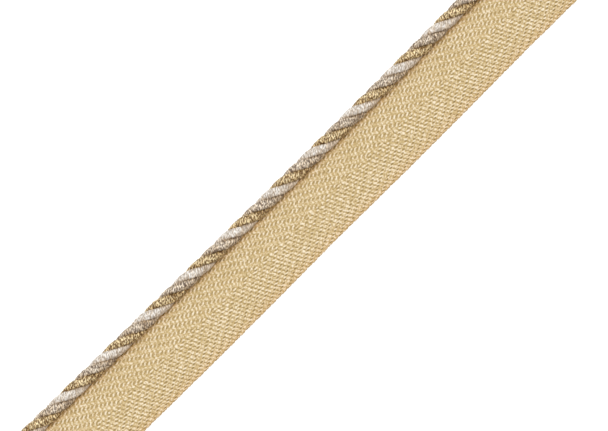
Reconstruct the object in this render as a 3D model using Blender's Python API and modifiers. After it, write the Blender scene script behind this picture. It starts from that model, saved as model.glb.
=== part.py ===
"""Flanged cord trim: a three-ply twisted cord carried on the inner edge of a woven tape.

The trim runs along X, lies flat on the ground, and is cut square at both ends. The tape reaches out to
the side of -Y, and the cord lies on its edge at the side of +Y. Units are metres, and Z points up.
"""

import math

import bmesh
import bpy
from mathutils import Vector

# Length of the cut piece, and the sizes of the cord
TRIM_LENGTH = 0.200
CORD_DIAMETER = 0.00390
LAY_LENGTH = 0.01367
PLY_COUNT = 3

# Oval section of a ply, which leaves 0.3 mm between neighbouring plies
PLY_THICKNESS = 0.00150
PLY_BREADTH = 0.00232

# Sizes of the tape, of which the inner strip runs under the cord
TAPE_THICKNESS = 0.0010
VISIBLE_FLANGE = 0.01578
TAPE_UNDER_CORD = 0.00250
CORD_TO_TAPE_GAP = 0.0003

# Unevenness: the cord bows away from the tape towards both ends, and the free edge waves a little
CORD_BOW = 0.00066
CORD_BOW_PERIOD = 0.320
CORD_BOW_SHIFT = 0.014
EDGE_WAVE = 0.00009
EDGE_WAVE_PERIOD = 0.063
EDGE_WAVE_SHIFT = 0.033

# Fineness of the faceted surfaces
PLY_STEPS = 204
PLY_CORNERS = 14
TAPE_CELLS_ALONG = 40
TAPE_CELLS_ACROSS = 4
SMOOTH_ANGLE = math.radians(50)

# Where the first ply stands round the cord at the middle of the length
FIRST_PLY_ANGLE = math.radians(-19)

# Colour as red, green and blue, then roughness and metallic value
FINISHES = {
    "ply_gold": ((0.47, 0.33, 0.15), 0.42, 0.30),
    "ply_taupe": ((0.40, 0.34, 0.27), 0.48, 0.15),
    "ply_white": ((0.72, 0.69, 0.65), 0.35, 0.10),
    "tape": ((0.67, 0.52, 0.30), 0.60, 0.00),
}

COLLECTION_NAME = "flanged_cord_trim"


def cord_bow(x):
    """How far the cord stands outward of the place where it comes nearest to the tape's free edge."""
    return CORD_BOW * (1 - math.cos(2 * math.pi * (x - CORD_BOW_SHIFT) / CORD_BOW_PERIOD))


def edge_wave(x):
    """How far the tape's free edge stands out of its straight line."""
    return EDGE_WAVE * math.cos(2 * math.pi * (x - EDGE_WAVE_SHIFT) / EDGE_WAVE_PERIOD)


def middle_of_width():
    """Distance from the tape's straight free edge to the middle of the whole width, bow and wave included."""
    widest_bow = max(cord_bow(-TRIM_LENGTH / 2), cord_bow(TRIM_LENGTH / 2))
    return (VISIBLE_FLANGE + CORD_DIAMETER + widest_bow - EDGE_WAVE) / 2


def free_edge_y(x):
    """Y of the tape's free edge."""
    return -middle_of_width() - edge_wave(x)


def cord_axis_y(x):
    """Y of the cord's axis."""
    return VISIBLE_FLANGE + CORD_DIAMETER / 2 + cord_bow(x) - middle_of_width()


def hidden_edge_y(x):
    """Y of the tape's inner edge, under the cord."""
    return cord_axis_y(x) - CORD_DIAMETER / 2 + TAPE_UNDER_CORD


def cord_axis_z():
    """Height of the cord's axis above the ground."""
    return TAPE_THICKNESS + CORD_TO_TAPE_GAP + CORD_DIAMETER / 2


def make_material(name):
    """A Principled material with the finish that is listed for this sub-part."""
    colour, roughness, metallic = FINISHES[name]
    material = bpy.data.materials.new(name)
    material.use_nodes = True
    shader = material.node_tree.nodes["Principled BSDF"]
    shader.inputs["Base Color"].default_value = (*colour, 1.0)
    shader.inputs["Roughness"].default_value = roughness
    shader.inputs["Metallic"].default_value = metallic
    return material


def finish_object(thing, collection):
    """Put the object in the collection, give it its material and shade its round faces smooth."""
    collection.objects.link(thing)
    thing.data.materials.append(make_material(thing.name))
    thing.data.shade_smooth()
    thing.data.set_sharp_from_angle(angle=SMOOTH_ANGLE)


def ply_ring(x, start_angle):
    """Corners of a ply's oval section in the plane across the cord at x. The plies turn right-handed."""
    turn = start_angle + 2 * math.pi * x / LAY_LENGTH
    ring = []
    for corner in range(PLY_CORNERS):
        angle = 2 * math.pi * corner / PLY_CORNERS
        outward = (CORD_DIAMETER - PLY_THICKNESS + PLY_THICKNESS * math.cos(angle)) / 2
        sideways = PLY_BREADTH / 2 * math.sin(angle)
        y = cord_axis_y(x) + outward * math.cos(turn) - sideways * math.sin(turn)
        z = cord_axis_z() + outward * math.sin(turn) + sideways * math.cos(turn)
        ring.append((x, y, z))
    return ring


def build_ply(name, start_angle, collection):
    """One ply: oval rings from end to end, joined by faces and closed at both flat ends."""
    shape = bmesh.new()
    rings = []
    for step in range(PLY_STEPS + 1):
        x = TRIM_LENGTH * (step / PLY_STEPS - 0.5)
        rings.append([shape.verts.new(corner) for corner in ply_ring(x, start_angle)])
    for near, far in zip(rings, rings[1:]):
        for corner in range(PLY_CORNERS):
            following = (corner + 1) % PLY_CORNERS
            shape.faces.new((near[corner], near[following], far[following], far[corner]))
    shape.faces.new(rings[0])
    shape.faces.new(rings[-1])
    bmesh.ops.recalc_face_normals(shape, faces=shape.faces)
    mesh = bpy.data.meshes.new(name)
    shape.to_mesh(mesh)
    shape.free()
    finish_object(bpy.data.objects.new(name, mesh), collection)


def build_plies(collection):
    """The three plies, a third of a turn apart: gold, then taupe, then white along the cord."""
    for index, name in enumerate(("ply_gold", "ply_taupe", "ply_white")):
        build_ply(name, FIRST_PLY_ANGLE - index * 2 * math.pi / PLY_COUNT, collection)


def build_tape(collection):
    """The flat tape: a unit grid spread between its two edges, then thickened upwards from the ground."""
    shape = bmesh.new()
    bmesh.ops.create_grid(
        shape, x_segments=TAPE_CELLS_ALONG, y_segments=TAPE_CELLS_ACROSS, size=0.5
    )
    for vertex in shape.verts:
        x = vertex.co.x * TRIM_LENGTH
        share = vertex.co.y + 0.5
        y = free_edge_y(x) * (1 - share) + hidden_edge_y(x) * share
        vertex.co = Vector((x, y, 0))
    mesh = bpy.data.meshes.new("tape")
    shape.to_mesh(mesh)
    shape.free()
    tape = bpy.data.objects.new("tape", mesh)
    finish_object(tape, collection)
    thickness = tape.modifiers.new("thickness", "SOLIDIFY")
    thickness.thickness = TAPE_THICKNESS
    thickness.offset = 1.0


def main():
    """Clear the scene and build the trim in a collection of its own."""
    for thing in list(bpy.data.objects):
        bpy.data.objects.remove(thing)
    collection = bpy.data.collections.new(COLLECTION_NAME)
    bpy.context.scene.collection.children.link(collection)
    build_tape(collection)
    build_plies(collection)


main()
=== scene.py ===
"""Looks of a flanged cord trim: a herringbone tape with a twisted three-ply cord along its inner edge.

The trim lies flat and runs along X. The tape reaches out to -Y, the cord lies at +Y, and Z points up.
Every length is in metres. In materials, a place along a thread is in millimetres, and a place round it is
the share of the way round. A rate says how fast a pattern changes with such a place.
"""

import logging
import math
from dataclasses import dataclass, field
from enum import Enum
from typing import Sequence

import bpy
import numpy as np
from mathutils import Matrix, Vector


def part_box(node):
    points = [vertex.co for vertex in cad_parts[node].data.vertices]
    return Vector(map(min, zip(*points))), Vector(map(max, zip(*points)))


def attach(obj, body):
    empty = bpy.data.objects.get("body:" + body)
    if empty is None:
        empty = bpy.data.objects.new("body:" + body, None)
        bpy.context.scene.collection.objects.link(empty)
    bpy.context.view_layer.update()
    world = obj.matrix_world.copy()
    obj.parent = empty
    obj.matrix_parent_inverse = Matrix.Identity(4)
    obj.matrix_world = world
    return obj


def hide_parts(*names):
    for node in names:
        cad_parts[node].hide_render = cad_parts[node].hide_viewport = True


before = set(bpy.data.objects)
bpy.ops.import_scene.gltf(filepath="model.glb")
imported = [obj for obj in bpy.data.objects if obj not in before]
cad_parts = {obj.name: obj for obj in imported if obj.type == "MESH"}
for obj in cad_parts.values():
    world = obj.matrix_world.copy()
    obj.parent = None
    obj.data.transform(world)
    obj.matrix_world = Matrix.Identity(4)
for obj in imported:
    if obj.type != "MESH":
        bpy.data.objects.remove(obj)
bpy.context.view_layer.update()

LOG = logging.getLogger("flanged_cord_trim")
MILLIMETRE = 0.001
WHITE = (1.0, 1.0, 1.0, 1.0)

# Middle of every noise and tone, which run from 0 to 1
MIDDLE = 0.5

# Roughness of the noise along threads
NOISE_ROUGHNESS = 0.55

Colour = tuple[float, float, float]
Pair = tuple[float, float]


class Slot(Enum):
    """Names of the material slots."""

    TAPE = "tape_weave"
    GOLD = "gold_thread"
    TAUPE = "taupe_thread"
    WHITE = "white_thread"


class Value:
    """A number in a node tree. An expression on values adds its Math nodes."""

    def __init__(self, graph: "Graph", socket: bpy.types.NodeSocket) -> None:
        """Keep the tree and the socket that gives the number."""
        self.graph = graph
        self.socket = socket

    def combine(self, operation: str, first: "Value | float", second: "Value | float") -> "Value":
        """Add a Math node.

        Args:
            operation: The Math node's operation.
            first: A value or a number.
            second: A value or a number.

        Returns:
            The node's result.
        """
        node = self.graph.node("ShaderNodeMath", {"operation": operation}, {0: first, 1: second})
        return Value(self.graph, node.outputs[0])

    def __add__(self, other: "Value | float") -> "Value":
        """This value plus another."""
        return self.combine("ADD", self, other)

    def __radd__(self, other: float) -> "Value":
        """A number plus this value."""
        return self.combine("ADD", other, self)

    def __sub__(self, other: "Value | float") -> "Value":
        """This value minus another."""
        return self.combine("SUBTRACT", self, other)

    def __rsub__(self, other: float) -> "Value":
        """A number minus this value."""
        return self.combine("SUBTRACT", other, self)

    def __mul__(self, other: "Value | float") -> "Value":
        """This value times another."""
        return self.combine("MULTIPLY", self, other)

    def __rmul__(self, other: float) -> "Value":
        """A number times this value."""
        return self.combine("MULTIPLY", other, self)

    def power(self, exponent: float) -> "Value":
        """This value raised to an exponent."""
        return self.combine("POWER", self, exponent)

    def sine(self) -> "Value":
        """The sine of this value, in radians."""
        return self.combine("SINE", self, 0.0)


class Graph:
    """The node tree of one new material."""

    def __init__(self, name: str) -> None:
        """Make the material and keep its tree and its Principled shader.

        Args:
            name: The material's name.
        """
        self.material = bpy.data.materials.new(name)
        self.material.use_nodes = True
        self.tree = self.material.node_tree
        self.shader = self.tree.nodes["Principled BSDF"]

    def node(self, kind: str, settings: dict, sockets: dict) -> bpy.types.Node:
        """Add a node of any type.

        Args:
            kind: The node's type.
            settings: Its settings, which are set first. "stops" gives a ramp's places and colours.
            sockets: Values, links or numbers for its input sockets, by name or index.

        Returns:
            The node.
        """
        node = self.tree.nodes.new(kind)
        for name, setting in settings.items():
            if name == "stops":
                self.set_stops(node.color_ramp, setting)
            else:
                setattr(node, name, setting)
        for name, source in sockets.items():
            self.feed(node.inputs[name], source)
        return node

    def feed(self, socket: bpy.types.NodeSocket, source: object) -> None:
        """Link an input socket, or set its number or colour.

        Args:
            socket: The input socket.
            source: A value or an output socket to link, or a number or colour to set.
        """
        if isinstance(source, Value):
            source = source.socket
        if isinstance(source, bpy.types.NodeSocket):
            self.tree.links.new(source, socket)
        else:
            socket.default_value = source

    @staticmethod
    def set_stops(ramp: bpy.types.ColorRamp, stops: Sequence[tuple[float, Colour]]) -> None:
        """Give a ramp its places and colours.

        Args:
            ramp: The ramp.
            stops: Each stop's place from 0 to 1, and its colour.
        """
        while len(ramp.elements) < len(stops):
            ramp.elements.new(1.0)
        for element, (place, colour) in zip(ramp.elements, stops):
            element.position = place
            element.color = (*colour, 1.0)

    def attribute(self, name: str) -> Value:
        """A number that is kept on the mesh's points."""
        node = self.node("ShaderNodeAttribute", {"attribute_name": name}, {})
        return Value(self, node.outputs["Fac"])

    def thread_place(self) -> tuple[Value, Value]:
        """How far along its thread a point is, and how far round it, from the piece's own UV map.

        Returns:
            The length along in millimetres, and the share of the way round.
        """
        place = self.node("ShaderNodeUVMap", {"uv_map": "thread"}, {})
        apart = self.node("ShaderNodeSeparateXYZ", {}, {0: place.outputs["UV"]})
        return Value(self, apart.outputs["X"]), Value(self, apart.outputs["Y"])

    def thread_noise(self, along: Value, around: Value, depth: "Value | float", detail: float) -> Value:
        """Cloudy noise about zero in a thread's own coordinates, each of which has its rate already.

        Args:
            along: Place along the thread.
            around: Place round the thread.
            depth: Third coordinate, which makes the noise another one where it differs.
            detail: Detail of the noise.

        Returns:
            A number from -0.5 to 0.5.
        """
        place = self.node("ShaderNodeCombineXYZ", {}, {"X": along, "Y": around, "Z": depth})
        node = self.node(
            "ShaderNodeTexNoise",
            {"noise_dimensions": "3D"},
            {"Vector": place.outputs[0], "Scale": 1.0, "Detail": detail, "Roughness": NOISE_ROUGHNESS},
        )
        return Value(self, node.outputs["Fac"]) - MIDDLE

    def object_noise(self, rate: float, detail: float) -> Value:
        """Cloudy noise about zero in the piece's own coordinates.

        Args:
            rate: Cells in a metre.
            detail: Detail of the noise.

        Returns:
            A number from -0.5 to 0.5.
        """
        place = self.node("ShaderNodeTexCoord", {}, {})
        node = self.node(
            "ShaderNodeTexNoise",
            {"noise_dimensions": "3D"},
            {"Vector": place.outputs["Object"], "Scale": rate, "Detail": detail},
        )
        return Value(self, node.outputs["Fac"]) - MIDDLE

    def ramp(self, factor: Value, low: Colour, middle: Colour, high: Colour) -> bpy.types.NodeSocket:
        """A colour read from a ramp of three: at 0, at the middle and at 1."""
        stops = ((0.0, low), (MIDDLE, middle), (1.0, high))
        return self.node("ShaderNodeValToRGB", {"stops": stops}, {"Fac": factor}).outputs["Color"]

    def tint(self, share: Value, colour: bpy.types.NodeSocket, shade: Colour) -> bpy.types.NodeSocket:
        """Multiply a colour by a shade.

        Args:
            share: Where the shade acts: 0 nowhere, 1 in full.
            colour: The socket that gives the colour.
            shade: The shade.

        Returns:
            The socket that gives the tinted colour.
        """
        settings = {"data_type": "RGBA", "blend_type": "MULTIPLY", "clamp_factor": True}
        node = self.node("ShaderNodeMix", settings, {0: share, 6: colour, 7: (*shade, 1.0)})
        return node.outputs[2]

    def bump(self, height: Value, depth: float, strength: float) -> None:
        """Raise the surface.

        Args:
            height: Height as a share of the depth.
            depth: Depth of the relief.
            strength: Strength of the relief, from 0 to 1.
        """
        settings = {"Height": height, "Distance": depth, "Strength": strength}
        node = self.node("ShaderNodeBump", {}, settings)
        self.feed(self.shader.inputs["Normal"], node.outputs["Normal"])

    def constant(self, **numbers: float) -> None:
        """Set numbers that are the same all over the surface on the shader itself."""
        for name, number in numbers.items():
            self.shader.inputs[name.replace("_", " ").title().replace("Ior", "IOR")].default_value = number


@dataclass(frozen=True)
class TapeFinish:
    """Matt yarn of the tape: pale cream with a painted highlight on its crests, tan with painted shade
    where it dips, and painted shade beside the cord.

    The colour follows the height, which paints highlight on the crests and shade in the dips, the yarn's
    own tone, fibres along the yarn, slubs and fine grain, each with its share. The fibre change says how
    much the fibres' pattern changes with the tone.
    """

    dark: Colour = (0.53, 0.39, 0.17)
    middle: Colour = (0.66, 0.50, 0.255)
    pale: Colour = (0.92, 0.80, 0.60)
    painted_shade_tint: Colour = (0.89, 0.68, 0.46)
    crest_power: float = 2.6
    nook_share: float = 0.9
    fibre_rates: Pair = (1.3, 9.0)
    fibre_change: float = 3.0
    fibre_share: float = 0.35
    slub_rate: float = 420.0
    slub_share: float = 0.2
    grain_rate: float = 2300.0
    grain_share: float = 2.4
    roughness: float = 0.62
    roughness_spread: float = 0.2
    specular: float = 0.35
    twist_rate: float = 9.0
    twist_strands: int = 2
    twist_relief: float = 0.15
    fibre_relief: float = 0.8
    relief_depth: float = 0.00005
    relief_strength: float = 0.7

    def make(self, name: str) -> bpy.types.Material:
        """Make the material.

        Args:
            name: The material's name.

        Returns:
            The material.
        """
        graph = Graph(name)
        along, around = graph.thread_place()
        tone = graph.attribute("tone")
        fibre_along, fibre_around = self.fibre_rates
        depth = tone * self.fibre_change
        fibre = graph.thread_noise(along * fibre_along, around * fibre_around, depth, detail=2.0)
        slub = graph.object_noise(self.slub_rate, detail=2.0)
        grain = graph.object_noise(self.grain_rate, detail=1.0)
        # Painted highlight on the high crests and painted shade where the yarn dips, from its height
        crest = graph.attribute("lift").power(self.crest_power)
        blend = crest + (tone - MIDDLE) + fibre * self.fibre_share
        blend = blend + slub * self.slub_share + grain * self.grain_share
        colour = graph.ramp(blend, self.dark, self.middle, self.pale)
        # Painted shade beside the cord and along the free edge
        colour = graph.tint(graph.attribute("painted_shade") * self.nook_share, colour, self.painted_shade_tint)
        graph.feed(graph.shader.inputs["Base Color"], colour)
        graph.feed(graph.shader.inputs["Roughness"], self.roughness + fibre * self.roughness_spread)
        twist = (along * self.twist_rate + around * (2 * math.pi * self.twist_strands)).sine()
        height = twist * self.twist_relief + fibre * self.fibre_relief
        graph.bump(height, self.relief_depth, self.relief_strength)
        graph.constant(specular_ior_level=self.specular)
        return graph.material


@dataclass(frozen=True)
class PlyFinish:
    """Lustrous threads of one ply, flecked from dull to bright in mixed colours and painted glints, and
    tinted by random patches and by painted shade at the flanks and on the tape's side.

    The fibre change says how much the fibres' pattern changes with the shade.
    """

    dull: Colour
    middle: Colour
    bright: Colour
    tint: Colour
    roughness: float
    metallic: float
    balance: float
    fleck_contrast: float
    fleck_rates: Pair = (1.8, 19.0)
    fibre_rates: Pair = (1.6, 40.0)
    fibre_change: float = 3.0
    fibre_share: float = 0.8
    roughness_spread: float = 0.25
    specular: float = 0.55
    fibre_relief: float = 0.7
    fleck_relief: float = 0.3
    relief_depth: float = 0.00004
    relief_strength: float = 0.8

    def make(self, name: str) -> bpy.types.Material:
        """Make the material.

        Args:
            name: The material's name.

        Returns:
            The material.
        """
        graph = Graph(name)
        along, around = graph.thread_place()
        shade = graph.attribute("shade")
        fibre_along, fibre_around = self.fibre_rates
        depth = shade * self.fibre_change
        fibre = graph.thread_noise(along * fibre_along, around * fibre_around, depth, detail=2.0)
        fleck_along, fleck_around = self.fleck_rates
        fleck = graph.thread_noise(along * fleck_along, around * fleck_around, 0.0, detail=1.0)
        # The tone holds painted highlight and shade; the flecks are partly the threads' mixed colours and
        # partly painted glints
        blend = graph.attribute("tone") + self.balance
        blend = blend + fibre * self.fibre_share + fleck * self.fleck_contrast
        # The shade attribute tints random patches and paints shade on the flanks and the tape's side
        colour = graph.tint(shade, graph.ramp(blend, self.dull, self.middle, self.bright), self.tint)
        graph.feed(graph.shader.inputs["Base Color"], colour)
        graph.feed(graph.shader.inputs["Roughness"], self.roughness + fibre * self.roughness_spread)
        height = fibre * self.fibre_relief + fleck * self.fleck_relief
        graph.bump(height, self.relief_depth, self.relief_strength)
        graph.constant(metallic=self.metallic, specular_ior_level=self.specular)
        return graph.material


# Each tint colours the random patches and the painted shade of its ply
GOLD_FINISH = PlyFinish(
    dull=(0.145, 0.077, 0.020),
    middle=(0.51, 0.315, 0.105),
    bright=(0.98, 0.83, 0.52),
    tint=(0.91, 0.83, 0.71),
    roughness=0.40,
    metallic=0.15,
    balance=-0.12,
    fleck_contrast=9.0,
)
TAUPE_FINISH = PlyFinish(
    dull=(0.17, 0.12, 0.085),
    middle=(0.45, 0.345, 0.23),
    bright=(0.91, 0.80, 0.65),
    tint=(0.88, 0.78, 0.64),
    roughness=0.42,
    metallic=0.08,
    balance=-0.04,
    fleck_contrast=7.5,
)
WHITE_FINISH = PlyFinish(
    dull=(0.42, 0.35, 0.28),
    middle=(0.69, 0.62, 0.54),
    bright=(0.96, 0.93, 0.88),
    tint=(0.86, 0.74, 0.60),
    roughness=0.40,
    metallic=0.0,
    balance=0.0,
    fleck_contrast=5.5,
)
TAPE_FINISH = TapeFinish()


@dataclass(frozen=True)
class TrimLines:
    """The lines on which the trim is built, the same as those of its solids."""

    length: float
    tape_thickness: float
    visible_flange: float = 0.01578
    cord_diameter: float = 0.00390
    lay_length: float = 0.01367
    tape_under_cord: float = 0.00250
    cord_to_tape_gap: float = 0.0003
    bow: float = 0.00066
    bow_period: float = 0.320
    bow_shift: float = 0.014
    wave: float = 0.00009
    wave_period: float = 0.063
    wave_shift: float = 0.033

    @classmethod
    def from_frame(cls) -> "TrimLines":
        """Read the length and the tape's thickness from the tape's solid."""
        low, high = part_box("tape")
        return cls(length=high.x - low.x, tape_thickness=high.z - low.z)

    def cord_bow(self, x: np.ndarray) -> np.ndarray:
        """Sideways stand of the cord: the bow times one minus a cosine of x over the bow's period."""
        return self.bow * (1 - np.cos(2 * np.pi * (x - self.bow_shift) / self.bow_period))

    def edge_wave(self, x: np.ndarray) -> np.ndarray:
        """How far the free edge stands out: a cosine of x over the wave's period."""
        return self.wave * np.cos(2 * np.pi * (x - self.wave_shift) / self.wave_period)

    @property
    def middle_of_width(self) -> float:
        """Distance from the straight free edge to the middle of the whole width, bow and wave included.

        Returns:
            The distance.
        """
        ends = np.array([-self.length / 2, self.length / 2])
        widest_bow = float(self.cord_bow(ends).max())
        return (self.visible_flange + self.cord_diameter + widest_bow - self.wave) / 2

    def free_edge_y(self, x: np.ndarray) -> np.ndarray:
        """Y of the tape's free edge."""
        return -self.middle_of_width - self.edge_wave(x)

    def cord_axis_y(self, x: np.ndarray) -> np.ndarray:
        """Y of the cord's axis."""
        return self.visible_flange + self.cord_diameter / 2 + self.cord_bow(x) - self.middle_of_width

    def hidden_edge_y(self, x: np.ndarray) -> np.ndarray:
        """Y of the tape's inner edge, under the cord."""
        return self.cord_axis_y(x) - self.cord_diameter / 2 + self.tape_under_cord

    @property
    def cord_axis_z(self) -> float:
        """Height of the cord's axis."""
        return self.tape_thickness + self.cord_to_tape_gap + self.cord_diameter / 2


@dataclass
class Tubes:
    """Yarns as tubes on a grid of yarns, rings and corners, all worked out at once."""

    centre: np.ndarray
    half_width: np.ndarray
    half_height: np.ndarray
    sides: int = 8
    fullness: float = 0.85
    first_corner: float = 0.0

    def points(self) -> np.ndarray:
        """Corners of each ring: centre plus side times a cosine plus upright times a sine.

        Both are raised to the fullness, with their sign kept, which makes the ring a rounded box.

        Returns:
            An array of yarns, rings, corners and coordinates.
        """
        run = np.gradient(self.centre, axis=1)
        run /= np.linalg.norm(run, axis=2, keepdims=True)
        side = np.cross(run, np.array([0.0, 0.0, 1.0]))
        side /= np.linalg.norm(side, axis=2, keepdims=True)
        upright = np.cross(side, run)
        turn = self.first_corner + 2 * np.pi * np.arange(self.sides) / self.sides
        wide = np.sign(np.cos(turn)) * np.abs(np.cos(turn)) ** self.fullness
        high = np.sign(np.sin(turn)) * np.abs(np.sin(turn)) ** self.fullness
        out = side[:, :, None, :] * (self.half_width[:, :, None] * wide)[..., None]
        out = out + upright[:, :, None, :] * (self.half_height[:, :, None] * high)[..., None]
        return self.centre[:, :, None, :] + out

    def lengths(self) -> np.ndarray:
        """Length along each yarn at each ring: the running sum of the steps between centres."""
        steps = np.linalg.norm(np.diff(self.centre, axis=1), axis=2)
        return np.concatenate([np.zeros((len(steps), 1)), np.cumsum(steps, axis=1)], axis=1)


class MeshMaker:
    """Turns a grid of tube corners into a closed mesh object."""

    @staticmethod
    def faces(count: int, rings: int, sides: int) -> tuple[np.ndarray, np.ndarray, np.ndarray]:
        """Corner numbers of the four-sided faces between rings, and of the three-sided faces of the caps.

        A tube's points are numbered ring by ring, and the middles of its two caps come after all tubes.

        Args:
            count: Number of tubes.
            rings: Rings of a tube.
            sides: Corners of a ring.

        Returns:
            The faces between rings, the caps, and each ring face's first place on the unrolled grid.
        """
        tube, ring, side = np.meshgrid(
            np.arange(count), np.arange(rings - 1), np.arange(sides), indexing="ij"
        )
        first = (tube * rings + ring) * sides
        after = (side + 1) % sides
        next_ring = first + sides
        quads = np.stack([first + side, next_ring + side, next_ring + after, first + after], axis=-1)
        places = np.stack([ring, side], axis=-1)
        tubes = np.arange(count)[:, None]
        corners = np.arange(sides)[None, :]
        following = (corners + 1) % sides
        middle = count * rings * sides + tubes * 2
        start = tubes * rings * sides
        end = start + (rings - 1) * sides
        ones = np.ones_like(corners)
        near = np.stack([middle * ones, start + corners, start + following], axis=-1)
        far = np.stack([(middle + 1) * ones, end + following, end + corners], axis=-1)
        caps = np.concatenate([near.reshape(-1, 3), far.reshape(-1, 3)])
        return quads.reshape(-1, 4), caps, places.reshape(-1, 2)

    @classmethod
    def tubes(
        cls, name: str, points: np.ndarray, along: np.ndarray, numbers: dict[str, np.ndarray | float]
    ) -> bpy.types.Object:
        """Make closed tubes.

        Args:
            name: The piece's name.
            points: Tubes, rings, corners and coordinates.
            along: Length along each tube at each ring, in metres.
            numbers: Attributes of the points, by name, each with a number for each tube, ring and corner.

        Returns:
            The object, with a UV map that holds millimetres along and the share round.
        """
        count, rings, sides, _ = points.shape
        quads, caps, places = cls.faces(count, rings, sides)
        middles = np.stack([points[:, 0].mean(axis=1), points[:, -1].mean(axis=1)], axis=1)
        vertices = np.concatenate([points.reshape(-1, 3), middles.reshape(-1, 3)])
        mesh = bpy.data.meshes.new(name)
        mesh.vertices.add(len(vertices))
        mesh.vertices.foreach_set("co", vertices.astype(np.float32).ravel())
        loops = np.concatenate([quads.ravel(), caps.ravel()])
        mesh.loops.add(len(loops))
        mesh.loops.foreach_set("vertex_index", loops.astype(np.int32))
        starts = np.concatenate([np.arange(len(quads)) * 4, len(quads) * 4 + np.arange(len(caps)) * 3])
        mesh.polygons.add(len(starts))
        mesh.polygons.foreach_set("loop_start", starts.astype(np.int32))
        mesh.update(calc_edges=True)
        cls.add_map(mesh, quads, caps, places, along, (rings, sides))
        for label, values in numbers.items():
            cls.add_numbers(mesh, label, np.broadcast_to(values, (count, rings, sides)))
        mesh.shade_smooth()
        thing = bpy.data.objects.new(name, mesh)
        bpy.context.scene.collection.objects.link(thing)
        LOG.info("%s: %d tubes, %d triangles", name, count, len(quads) * 2 + len(caps))
        return thing

    @staticmethod
    def add_map(
        mesh: bpy.types.Mesh,
        quads: np.ndarray,
        caps: np.ndarray,
        places: np.ndarray,
        along: np.ndarray,
        grid: tuple[int, int],
    ) -> None:
        """Add the UV map: each face's corners on the unrolled tube, so that no face wraps back.

        Args:
            mesh: The mesh.
            quads: Faces between rings.
            caps: Faces of the caps.
            places: Ring and side of each ring face.
            along: Length along each tube at each ring.
            grid: Rings and corners of a tube.
        """
        rings, sides = grid
        tube = quads[:, 0] // (rings * sides)
        ring = places[:, :1] + np.array([[0, 1, 1, 0]])
        side = places[:, 1:] + np.array([[0, 0, 1, 1]])
        length = along[tube[:, None], ring] / MILLIMETRE
        body = np.stack([length, side / sides], axis=-1).reshape(-1, 2)
        flat = np.zeros((caps.size, 2))
        layer = mesh.uv_layers.new(name="thread")
        layer.data.foreach_set("uv", np.concatenate([body, flat]).astype(np.float32).ravel())

    @staticmethod
    def add_numbers(mesh: bpy.types.Mesh, label: str, values: np.ndarray) -> None:
        """Keep a number on each point. The middle of a cap gets that of its ring's first corner.

        Args:
            mesh: The mesh.
            label: The attribute's name.
            values: A number for each tube, ring and corner.
        """
        ends = np.stack([values[:, 0, 0], values[:, -1, 0]], axis=1)
        attribute = mesh.attributes.new(label, "FLOAT", "POINT")
        joined = np.concatenate([values.ravel(), ends.ravel()])
        attribute.data.foreach_set("value", joined.astype(np.float32))


class Unevenness:
    """Seeded waves that make handmade lines uneven."""

    def __init__(self, seed: int) -> None:
        """Start the random draws from a fixed seed."""
        self.draws = np.random.default_rng(seed)

    def along(self, place: np.ndarray, rows: int, span: Pair, waves: int = 6) -> np.ndarray:
        """A sum of sine waves of place with random lengths and phases, a different one for each row.

        Args:
            place: Places along a row, as rows and steps or as steps alone.
            rows: Number of rows.
            span: Shortest and longest wave.
            waves: Number of waves.

        Returns:
            Numbers of mean 0 and spread about 1, as rows and steps.
        """
        shortest, longest = span
        inverse = self.draws.uniform(1 / longest, 1 / shortest, (rows, waves, 1))
        phase = self.draws.uniform(0, 2 * np.pi, (rows, waves, 1))
        place = np.broadcast_to(place, (rows, np.shape(place)[-1]))[:, None, :]
        return np.sin(2 * np.pi * place * inverse + phase).sum(axis=1) / math.sqrt(waves / 2)

    def each(self, rows: int, spread: float) -> np.ndarray:
        """One random number of the given spread for each row, as a column."""
        return self.draws.normal(0.0, spread, (rows, 1))

    def over(self, x: np.ndarray, y: np.ndarray, span: Pair, waves: int = 9) -> np.ndarray:
        """A sum of plane waves over x and y with random lengths, directions and phases.

        Args:
            x: Places along the trim.
            y: Places across it.
            span: Shortest and longest wave.
            waves: Number of waves.

        Returns:
            Numbers of mean 0 and spread about 1, one for each place.
        """
        total = np.zeros(np.broadcast(x, y).shape)
        for _ in range(waves):
            number = 2 * np.pi / self.draws.uniform(*span)
            heading = self.draws.uniform(0, 2 * np.pi)
            phase = self.draws.uniform(0, 2 * np.pi)
            total = total + np.sin(number * (x * math.cos(heading) + y * math.sin(heading)) + phase)
        return total / math.sqrt(waves / 2)


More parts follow.
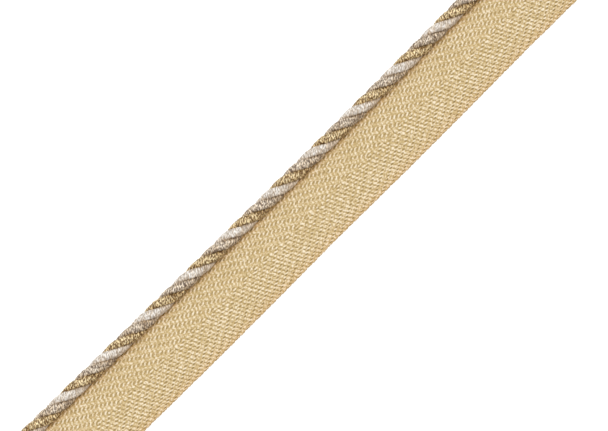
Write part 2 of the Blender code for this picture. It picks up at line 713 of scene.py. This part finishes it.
@dataclass
class HerringboneTape:
    """The woven tape: a pointed two-and-two twill whose point runs along the middle.

    Ends run along the tape and are numbered from the point, negative towards the free edge. Picks run
    across. An end lies over a pick where pick plus distance from the point, counted in ends, leaves 0 or 1
    when divided by 4, and else it lies under. Where a field has a pair of sizes, the first is for the free
    half and the second for the cord half. A pair called waves has the shortest and the longest wave.
    """

    lines: TrimLines

    # Counts of yarns, and rings of a warp in one repeat of the weave
    picks: int = 233
    pick_offset: float = 0.5
    free_ends: int = 17
    cord_ends: int = 20
    repeat: int = 4
    rings_per_repeat: int = 10

    # Widths on both sides of the point, and how much their ends crowd towards the edges
    free_side: float = 0.008465
    cord_side: float = 0.009815
    free_crowding: float = 0.165
    cord_crowding: float = 0.18

    # Sections of the yarns, how far they rise and dip, and their sways as shares of the pitch
    warp_fill: float = 0.52
    warp_half_height: float = 0.00024
    warp_rise: float = 0.00026
    warp_sways: Pair = (0.32, 0.40)
    weft_half_width: float = 0.00050
    weft_half_height: float = 0.00026
    weft_rise: float = 0.00024
    weft_sways: Pair = (0.26, 0.0)
    float_flatness: float = 1.0

    # Where the weft turns back: its distance from the edge, and its width near, at and in the turn
    turn_inset: float = 0.00012
    turn_widths: tuple[float, float, float] = (0.85, 0.62, 0.5)
    turn_flatness: float = 0.9
    last_step: float = 0.0001

    # The thin layer of fibres inside the weave, dark from its low lift: painted shade where it shows
    # between the yarns
    ground_half_height: float = 0.00006
    ground_lift: float = 0.3

    # Evenness of the weft's lift and its size in each half, which set the painted highlight and shade by
    # height, and the painted shades beside the cord and along the free edge as size and reach
    weft_evenness: float = 0.6
    weft_lifts: Pair = (0.93, 0.88)
    nook_width: float = 0.0005
    nook_reach: float = 0.00058
    selvage_shades: tuple[Pair, ...] = ((0.30, 0.0019), (0.30, 0.0003))
    free_dimness: float = 0.05

    # Unevenness of the yarns
    seed: int = 11
    warp_plumpness: float = 0.06
    warp_plump_waves: Pair = (0.0012, 0.006)
    weft_plumpness: float = 0.05
    weft_ring_step: float = 0.00025
    weft_tone_count: int = 12
    yarn_tone: float = 0.03
    tone_size: float = 0.07
    tone_waves: Pair = (0.001, 0.008)
    drift: float = 0.00002
    drift_seed: int = 5
    drift_waves: tuple[Pair, Pair] = ((0.003, 0.012), (0.004, 0.015))
    chance: Unevenness = field(init=False)

    def __post_init__(self) -> None:
        """Start the random draws of the yarns."""
        self.chance = Unevenness(self.seed)

    def end_share(self, end: np.ndarray) -> np.ndarray:
        """Share of the tape's width at which an end lies.

        The distance from the point is the side's width times t(1 + c) - c t cubed, where t is the end's
        number over the side's last half end, and c crowds the ends towards the selvage.

        Args:
            end: End numbers, whole or between two ends.

        Returns:
            Shares from 0 at the free edge to 1 at the inner edge.
        """
        free = end < 0
        side = np.where(free, self.free_side, self.cord_side)
        last = np.where(free, self.free_ends, self.cord_ends) + 0.5
        crowding = np.where(free, self.free_crowding, self.cord_crowding)
        t = np.clip(np.abs(end) / last, 0, 1)
        distance = side * (t * (1 + crowding) - crowding * t**3)
        return (self.free_side + np.sign(end) * distance) / (self.free_side + self.cord_side)

    def place_y(self, x: np.ndarray, end: np.ndarray) -> np.ndarray:
        """Y of an end at x: the share of the way between the tape's two edges there."""
        share = self.end_share(end)
        return self.lines.free_edge_y(x) * (1 - share) + self.lines.hidden_edge_y(x) * share

    def in_free_half(self, points: np.ndarray) -> np.ndarray:
        """Whether each point lies between the free edge and the weave's point."""
        return points[..., 1] < self.place_y(points[..., 0], np.zeros(1))

    @property
    def pick_pitch(self) -> float:
        """Distance between picks."""
        return self.lines.length / self.picks

    def step(self, x: np.ndarray, end: np.ndarray) -> np.ndarray:
        """Place in the repeat: pick number plus ends from the point. 0 and 1 are warp floats."""
        pick = (x + self.lines.length / 2) / self.pick_pitch - self.pick_offset
        return pick + np.abs(end)

    def rise(self, x: np.ndarray, end: np.ndarray) -> np.ndarray:
        """Height of the warp from -1 to 1: a flattened sine of the place in the repeat."""
        turn = 2 * np.pi * (self.step(x, end) + 0.5) / self.repeat
        return np.tanh(self.float_flatness * np.sin(turn)) / math.tanh(self.float_flatness)

    def sway(self, x: np.ndarray, end: np.ndarray, sizes: Pair) -> np.ndarray:
        """Sideways sway of a yarn that makes room for the next one: a cosine over two steps.

        Args:
            x: Place along the tape.
            end: End number.
            sizes: Size of the sway in the free half and in the cord half.

        Returns:
            The sway.
        """
        return -np.where(end < 0, *sizes) * np.cos(np.pi * self.step(x, end))

    def lift(self, tubes: Tubes, points: np.ndarray, evenness: float = 0.0) -> np.ndarray:
        """Height as a share: 0 at the tape's middle layer, 1 at its top and underside. The material paints
        highlight where it is high and shade where it is low.

        Args:
            tubes: The yarns.
            points: Their corners.
            evenness: Share taken from a ring's middle, the same for all its corners.

        Returns:
            A number for each corner.
        """
        half = self.lines.tape_thickness / 2
        corner = np.clip(np.abs(points[..., 2] - half) / half, 0, 1)
        middle = np.clip((np.abs(tubes.centre[..., 2] - half) + tubes.half_height) / half, 0, 1)
        return corner * (1 - evenness) + middle[..., None] * evenness

    def painted_shade(self, points: np.ndarray) -> np.ndarray:
        """How much painted shade a corner gets: in full just under the cord's edge, and a little at the
        free edge.

        By the cord it is an exponential of the distance both ways, and by the free edge two bell curves.

        Args:
            points: Corners of the yarns.

        Returns:
            A number from 0 to 1 for each corner.
        """
        edge = self.lines.cord_axis_y(points[..., 0]) - self.lines.cord_diameter / 2
        middle = edge + self.nook_width / 2
        away = np.clip(np.abs(points[..., 1] - middle) - self.nook_width / 2, 0, None)
        shade = np.exp(-away / self.nook_reach)
        inward = points[..., 1] - self.lines.free_edge_y(points[..., 0])
        for size, reach in self.selvage_shades:
            shade = shade + size * np.exp(-((inward / reach) ** 2))
        return np.clip(shade, 0, 1)

    def loosen(self, centre: np.ndarray) -> np.ndarray:
        """Shift the yarns a little in the plane, all by the same waves, so that they still cross.

        Args:
            centre: Middles of the yarns' rings.

        Returns:
            The shifted middles. At the cut ends nothing shifts along the tape.
        """
        chance = Unevenness(self.drift_seed)
        x, y = centre[..., 0], centre[..., 1]
        along, across = self.drift_waves
        fade = np.clip((self.lines.length / 2 - np.abs(x)) / self.pick_pitch, 0, 1)
        moved = centre.copy()
        moved[..., 0] = x + self.drift * fade * chance.over(x, y, along)
        moved[..., 1] = y + self.drift * chance.over(x, y, across)
        return moved

    def weave(
        self, name: str, tubes: Tubes, points: np.ndarray, tone: np.ndarray, lift: np.ndarray
    ) -> bpy.types.Object:
        """Make a piece from yarns, and keep their tone, lift and painted shade on its points.

        Args:
            name: The piece's name.
            tubes: The yarns.
            points: Their corners.
            tone: A number for each ring.
            lift: A number for each corner.

        Returns:
            The piece.
        """
        numbers = {"tone": tone[..., None], "lift": lift, "painted_shade": self.painted_shade(points)}
        return MeshMaker.tubes(name, points, tubes.lengths(), numbers)

    def warps(self, name: str, ends: np.ndarray) -> bpy.types.Object:
        """Weave a set of ends.

        Args:
            name: The piece's name.
            ends: Whole end numbers.

        Returns:
            The piece.
        """
        lines = self.lines
        rings = round(self.picks / self.repeat * self.rings_per_repeat)
        x = np.linspace(-lines.length / 2, lines.length / 2, rings)[None, :]
        end = ends[:, None].astype(float)
        pitch = np.abs(self.place_y(x, end + 0.5) - self.place_y(x, end - 0.5))
        y = self.place_y(x, end) + np.sign(end) * pitch * self.sway(x, end, self.warp_sways)
        z = lines.tape_thickness / 2 + self.warp_rise * self.rise(x, end)
        centre = self.loosen(np.stack(np.broadcast_arrays(x, y, z), axis=-1))
        plump = 1 + self.warp_plumpness * self.chance.along(x, len(ends), self.warp_plump_waves)
        tone = MIDDLE + self.chance.each(len(ends), self.yarn_tone)
        tone = tone + self.tone_size * self.chance.along(x, len(ends), self.tone_waves)
        tone = tone - self.free_dimness * (end < 0)
        half_height = np.full_like(plump, self.warp_half_height)
        tubes = Tubes(centre, self.warp_fill * pitch * plump, half_height)
        points = tubes.points()
        return self.weave(name, tubes, points, tone, self.lift(tubes, points))

    def weft_line(self, first: int, last: int) -> np.ndarray:
        """Lay the weft to and fro: one pick after the other, every second one turned round.

        A pick has a ring at each half end, and one more in the middle of the turn that follows it.

        Args:
            first: The first pick's number.
            last: The number after the last pick's.

        Returns:
            The middles of the rings, as one yarn.
        """
        lines = self.lines
        number = np.arange(first, last)[:, None]
        x = (number + self.pick_offset) * self.pick_pitch - lines.length / 2
        stops = 2 * (self.free_ends + 1 + self.cord_ends) + 1
        end = np.linspace(-self.free_ends - 0.5, self.cord_ends + 0.5, stops)[None, :]
        low = lines.free_edge_y(x) + self.turn_inset
        high = lines.hidden_edge_y(x) - self.turn_inset
        y = np.clip(self.place_y(x, end), low, high)
        z = lines.tape_thickness / 2 - self.weft_rise * self.rise(x, end)
        across = np.stack([x + self.pick_pitch * self.sway(x, end, self.weft_sways), y, z], axis=-1)
        across[1::2] = across[1::2, ::-1]
        following = np.roll(across[:, 0], -1, axis=0)
        following[-1] = across[-1, -1]
        turns = (across[:, -1] + following) / 2
        turns[-1, 0] += self.last_step
        return self.loosen(np.concatenate([across, turns[:, None]], axis=1).reshape(1, -1, 3))

    def weft_width(self, picks: int, rings: int) -> np.ndarray:
        """Width of the weft at each ring as a share: 1 along the pick, and less near, at and in the turn.

        Args:
            picks: Number of picks.
            rings: Rings of all picks together.

        Returns:
            The shares, as one yarn.
        """
        near, at, inside = self.turn_widths
        width = np.ones(rings // picks)
        width[[1, -3]] = near
        width[[0, -2]] = at
        width[-1] = inside
        return np.tile(width, picks)[None, :]

    def weft(self, name: str, first: int, last: int) -> bpy.types.Object:
        """Weave a run of picks as one yarn that turns back at both selvages.

        Args:
            name: The piece's name.
            first: The first pick's number.
            last: The number after the last pick's.

        Returns:
            The piece.
        """
        centre = self.weft_line(first, last)
        rings = centre.shape[1]
        width = self.weft_width(last - first, rings)
        place = np.arange(rings)[None, :] * self.weft_ring_step
        plump = 1 + self.weft_plumpness * self.chance.along(place, 1, self.tone_waves)
        waves = self.chance.along(place, 1, self.tone_waves, self.weft_tone_count)
        tone = MIDDLE + self.tone_size * waves - self.free_dimness * self.in_free_half(centre)
        half_height = self.weft_half_height * np.where(width < 1, self.turn_flatness, 1.0)
        tubes = Tubes(centre, self.weft_half_width * width * plump, half_height)
        points = tubes.points()
        lift = self.lift(tubes, points, self.weft_evenness)
        lift = np.where(self.in_free_half(points), *self.weft_lifts) * lift
        return self.weave(name, tubes, points, tone, lift)

    def ground(self, name: str) -> bpy.types.Object:
        """Lay the thin felt of fibre ends inside the weave: a flat strip from edge to edge, dark from its
        low lift as painted shade where it shows between the yarns.

        Args:
            name: The piece's name.

        Returns:
            The piece.
        """
        lines = self.lines
        x = np.linspace(-lines.length / 2, lines.length / 2, self.picks)[None, :]
        low = lines.free_edge_y(x) + 2 * self.turn_inset
        high = lines.hidden_edge_y(x) - 2 * self.turn_inset
        middle = np.full_like(x, lines.tape_thickness / 2)
        centre = np.stack([x, (low + high) / 2, middle], axis=-1)
        to_corner = math.sqrt(2)
        half_width = to_corner * (high - low) / 2
        half_height = np.full_like(x, to_corner * self.ground_half_height)
        tubes = Tubes(centre, half_width, half_height, sides=4, fullness=1.0, first_corner=math.pi / 4)
        numbers = {"tone": MIDDLE, "lift": self.ground_lift, "painted_shade": 0.0}
        return MeshMaker.tubes(name, tubes.points(), tubes.lengths(), numbers)

    def build(self) -> list[bpy.types.Object]:
        """Weave the tape and dress it.

        Returns:
            The pieces.
        """
        material = TAPE_FINISH.make("tape_yarn")
        half = self.picks // 2
        yarns = [
            self.warps("tape_warp_outer", np.arange(-self.free_ends, 1)),
            self.warps("tape_warp_inner", np.arange(1, self.cord_ends + 1)),
            self.weft("tape_weft_left", 0, half),
            self.weft("tape_weft_right", half, self.picks),
        ]
        ground = self.ground("tape_ground")
        for piece in (*yarns, ground):
            dress(piece, material, "tape")
        self.free_side + self.cord_side
        return [*yarns, ground]


@dataclass
class Ply:
    """One ply of the cord: fine threads side by side on an oval core, twisted against the cord's lay.

    A pair called waves has the shortest and the longest wave.
    """

    lines: TrimLines
    name: str
    node: str
    slot: Slot
    finish: PlyFinish
    start_angle: float
    seed: int

    # Section of the ply, its threads, and the rings that carry them
    thickness: float = 0.00166
    breadth: float = 0.00240
    threads: int = 14
    corners_per_thread: int = 4
    turns_per_lay: float = 3.9
    ring_step: float = 0.0002

    # How much slimmer and lower than its solids the cord is, so that it rests on the tape
    slack: float = 0.00006
    settle: float = 0.00056

    # Relief and unevenness of the threads
    ridge: float = 0.00011
    crinkle: float = 0.00005
    crinkle_waves: Pair = (0.0006, 0.003)
    wander: float = 0.35
    wander_waves: Pair = (0.001, 0.006)
    wander_count: int = 6
    wave_count: int = 8

    # Tone of the threads: painted highlight on the ply's back, painted shade in grooves and towards the
    # tape
    base_tone: float = 0.48
    painted_back_highlight: float = 0.14
    wave_tone: float = 0.16
    tone_waves: Pair = (0.0008, 0.004)
    thread_tone: float = 0.10
    painted_groove_shade: float = 0.25
    dusk: float = 0.24
    dusk_power: float = 1.5

    # Tinted patches, and how far the flank towards the other plies reaches, whose tint is painted shade
    patch_size: float = 0.9
    patch_waves: Pair = (0.002, 0.012)
    patch_share: float = 0.6
    flank_reach: float = 0.3
    chance: Unevenness = field(init=False)

    def __post_init__(self) -> None:
        """Start the random draws of the threads."""
        self.chance = Unevenness(self.seed)

    @property
    def helix_radius(self) -> float:
        """Distance from the cord's axis to the ply's middle line."""
        return (self.lines.cord_diameter - self.thickness) / 2 - self.slack

    @property
    def turn(self) -> float:
        """Turn of the cord's lay, in radians for each metre."""
        return 2 * np.pi / self.lines.lay_length

    @property
    def corners(self) -> np.ndarray:
        """Numbers of a ring's corners."""
        return np.arange(self.threads * self.corners_per_thread)

    def of_threads(self, rows: np.ndarray) -> np.ndarray:
        """A row of numbers for each thread, handed to the thread's corners, as rings and corners."""
        return rows[self.corners // self.corners_per_thread].T

    def waves(self, x: np.ndarray, span: Pair) -> np.ndarray:
        """Random waves along each thread, as rings and corners."""
        return self.of_threads(self.chance.along(x, self.threads, span, self.wave_count))

    def lobe(self) -> np.ndarray:
        """Roundness of the threads: a half circle from 0 between two of them to 1 on a thread's back."""
        share = (self.corners % self.corners_per_thread) / self.corners_per_thread
        return np.sqrt(np.clip(1 - (2 * share - 1) ** 2, 0, 1))[None, :]

    def oval(self, around: np.ndarray) -> np.ndarray:
        """Radius of the ply's section: that of an ellipse, thin outwards and broad sideways.

        Args:
            around: Direction from the ply's middle line, in radians from outwards.

        Returns:
            The radius.
        """
        thin = 2 * np.cos(around) / self.thickness
        broad = 2 * np.sin(around) / self.breadth
        return 1 / np.sqrt(thin**2 + broad**2)

    def section(self, x: np.ndarray) -> tuple[np.ndarray, np.ndarray]:
        """Directions and radii of the corners round the ply's middle line.

        The radius is the oval's less a ridge depth times one minus a round lobe for each thread, plus a
        crinkle along each thread. The lobes turn back with the distance along the cord, and wander.

        Args:
            x: Places along the cord.

        Returns:
            The directions and the radii, as rings and corners.
        """
        crinkle = self.waves(x, self.crinkle_waves)
        wander = self.chance.along(x, self.threads, self.wander_waves, self.wander_count)
        lobe = self.lobe()
        place = self.corners[None, :] + self.wander * self.of_threads(wander) * lobe
        around = 2 * np.pi * place / len(self.corners) - self.turn * self.turns_per_lay * x[:, None]
        radius = self.oval(around) - self.ridge * (1 - lobe) + self.crinkle * crinkle * lobe
        return around, radius

    def tone(self, x: np.ndarray, around: np.ndarray, dusk: np.ndarray) -> np.ndarray:
        """Tone of the corners: a base, a painted highlight on the ply's back, waves and each thread's own,
        less painted shade in the grooves and towards the tape.

        Args:
            x: Places along the cord.
            around: Directions of the corners.
            dusk: How far each corner is on the tape's side, from 0 to 1.

        Returns:
            A number for each ring and corner.
        """
        # Painted highlight on the ply's back, painted shade in the grooves between threads and on the
        # tape's side
        back = np.clip(np.cos(around), 0, 1) ** 2
        tone = self.base_tone + self.painted_back_highlight * back + self.wave_tone * self.waves(x, self.tone_waves)
        tone = tone + self.thread_tone * self.of_threads(self.chance.each(self.threads, 1.0))
        return tone - self.painted_groove_shade * (1 - self.lobe()) - self.dusk * dusk

    def shade(self, x: np.ndarray, around: np.ndarray, dusk: np.ndarray) -> np.ndarray:
        """How tinted the corners are: by random patches, and with painted shade on the ply's flank and on
        the tape's side.

        Args:
            x: Places along the cord.
            around: Directions of the corners.
            dusk: How far each corner is on the tape's side, from 0 to 1.

        Returns:
            A number from 0 to 1 for each ring and corner.
        """
        patches = np.clip(self.patch_size * self.waves(x, self.patch_waves), 0, 1)
        flank = np.clip(self.flank_reach - np.cos(around), 0, 1)
        return np.clip(self.patch_share * patches + dusk + flank, 0, 1)

    def build(self) -> bpy.types.Object:
        """Lay the threads round the ply's line and dress them.

        The line is a helix round the cord's axis: its angle is the start angle plus a turn for each lay
        length. The threads' section stands across the cord, at the helix radius, and turns with it.

        Returns:
            The piece.
        """
        lines = self.lines
        rings = round(lines.length / self.ring_step) + 1
        x = np.linspace(-lines.length / 2, lines.length / 2, rings)
        around, radius = self.section(x)
        angle = (self.start_angle + self.turn * x)[:, None]
        outward = self.helix_radius + radius * np.cos(around)
        sideways = radius * np.sin(around)
        across = outward * np.cos(angle) - sideways * np.sin(angle)
        height = outward * np.sin(angle) + sideways * np.cos(angle)
        y = lines.cord_axis_y(x)[:, None] + across
        z = lines.cord_axis_z - self.settle + height
        points = np.stack(np.broadcast_arrays(x[:, None], y, z), axis=-1)
        # How far a corner is on the tape's side, for the painted shade there
        dusk = np.clip(-2 * across / lines.cord_diameter, 0, 1) ** self.dusk_power
        tone = self.tone(x, around, dusk)
        numbers = {"tone": tone[None], "shade": self.shade(x, around, dusk)[None]}
        along = x * math.hypot(1.0, self.turn * self.helix_radius)
        piece = MeshMaker.tubes(self.name, points[None], along[None], numbers)
        dress(piece, self.finish.make(self.slot.value), self.node)
        return piece


@dataclass
class TwistedCord:
    """The cord: three plies a third of a turn apart, gold, then taupe, then white."""

    lines: TrimLines
    first_angle: float = math.radians(-19)
    first_seed: int = 21

    def build(self) -> list[bpy.types.Object]:
        """Build the three plies.

        Returns:
            The pieces.
        """
        third = 2 * math.pi / 3
        plies = (
            ("cord_ply_gold", "ply_gold", Slot.GOLD, GOLD_FINISH),
            ("cord_ply_taupe", "ply_taupe", Slot.TAUPE, TAUPE_FINISH),
            ("cord_ply_white", "ply_white", Slot.WHITE, WHITE_FINISH),
        )
        pieces = []
        for index, (name, node, slot, finish) in enumerate(plies):
            angle = self.first_angle - index * third
            pieces.append(Ply(self.lines, name, node, slot, finish, angle, self.first_seed + index).build())
        return pieces


@dataclass
class Studio:
    """A plain pale floor, one soft key light, even fill, and the camera straight above the trim."""

    target_y: float = -0.001003
    target_z: float = 0.001
    distance: float = 2.04
    far_limit: float = 100.0
    lens: float = 515.0
    sensor: float = 36.0
    turn: float = math.radians(-44.942)
    key_elevation: float = math.radians(76)
    key_azimuth: float = math.radians(45)
    key_strength: float = 2.0
    key_softness: float = math.radians(25)
    fill_strength: float = 0.48
    floor_size: float = 6.0
    floor_colour: Colour = (0.93, 0.93, 0.93)
    floor_roughness: float = 0.9
    floor_specular: float = 0.2
    floor_glow: float = 0.25

    def camera(self) -> bpy.types.Object:
        """Set the camera straight above the trim, turned so that the trim runs from corner to corner.

        Returns:
            The camera.
        """
        data = bpy.data.cameras.new("camera")
        data.lens = self.lens
        data.sensor_width = self.sensor
        data.clip_end = self.far_limit
        camera = bpy.data.objects.new("camera", data)
        camera.location = (0.0, self.target_y, self.target_z + self.distance)
        camera.rotation_euler = (0.0, 0.0, self.turn)
        bpy.context.scene.collection.objects.link(camera)
        bpy.context.scene.camera = camera
        return camera

    def key(self) -> bpy.types.Object:
        """Hang the key light, broad and soft, so that it comes from above, from the cord's side and +X.

        Returns:
            The light.
        """
        data = bpy.data.lights.new("key", "SUN")
        data.energy = self.key_strength
        data.angle = self.key_softness
        key = bpy.data.objects.new("key", data)
        key.rotation_euler = (0.0, math.pi / 2 - self.key_elevation, self.key_azimuth)
        bpy.context.scene.collection.objects.link(key)
        return key

    def fill(self) -> None:
        """Light evenly from all round with white."""
        world = bpy.data.worlds.new("studio")
        world.use_nodes = True
        background = world.node_tree.nodes["Background"]
        background.inputs["Color"].default_value = WHITE
        background.inputs["Strength"].default_value = self.fill_strength
        bpy.context.scene.world = world

    def floor(self) -> bpy.types.Object:
        """Lay the floor.

        Returns:
            The floor.
        """
        mesh = bpy.data.meshes.new("floor")
        half = self.floor_size / 2
        corners = [(-half, -half, 0.0), (half, -half, 0.0), (half, half, 0.0), (-half, half, 0.0)]
        mesh.from_pydata(corners, [], [(0, 1, 2, 3)])
        floor = bpy.data.objects.new("floor", mesh)
        bpy.context.scene.collection.objects.link(floor)
        graph = Graph("floor_white")
        graph.shader.inputs["Base Color"].default_value = (*self.floor_colour, 1.0)
        graph.shader.inputs["Emission Color"].default_value = WHITE
        graph.constant(roughness=self.floor_roughness, specular_ior_level=self.floor_specular)
        graph.constant(emission_strength=self.floor_glow)
        mesh.materials.append(graph.material)
        return floor

    def build(self) -> None:
        """Set up the camera, the lights and the floor, with colours shown as they are."""
        bpy.context.scene.view_settings.view_transform = "Standard"
        self.camera()
        self.key()
        self.fill()
        self.floor()


def dress(piece: bpy.types.Object, material: bpy.types.Material, node: str) -> None:
    """Give a piece its material, fix it to the trim's body, and let it stand for its solid.

    Args:
        piece: The finished piece.
        material: Its material.
        node: The solid that it stands for.
    """
    piece.data.materials.append(material)
    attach(piece, "root")
    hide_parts(node)


def main() -> None:
    """Build the studio, the cord and the tape, and report each piece."""
    logging.basicConfig(level=logging.INFO, format="%(message)s")
    lines = TrimLines.from_frame()
    Studio().build()
    pieces = TwistedCord(lines).build() + HerringboneTape(lines).build()
    for piece in pieces:
        LOG.info("placed %s", piece.name)


if __name__ == "__main__":
    main()
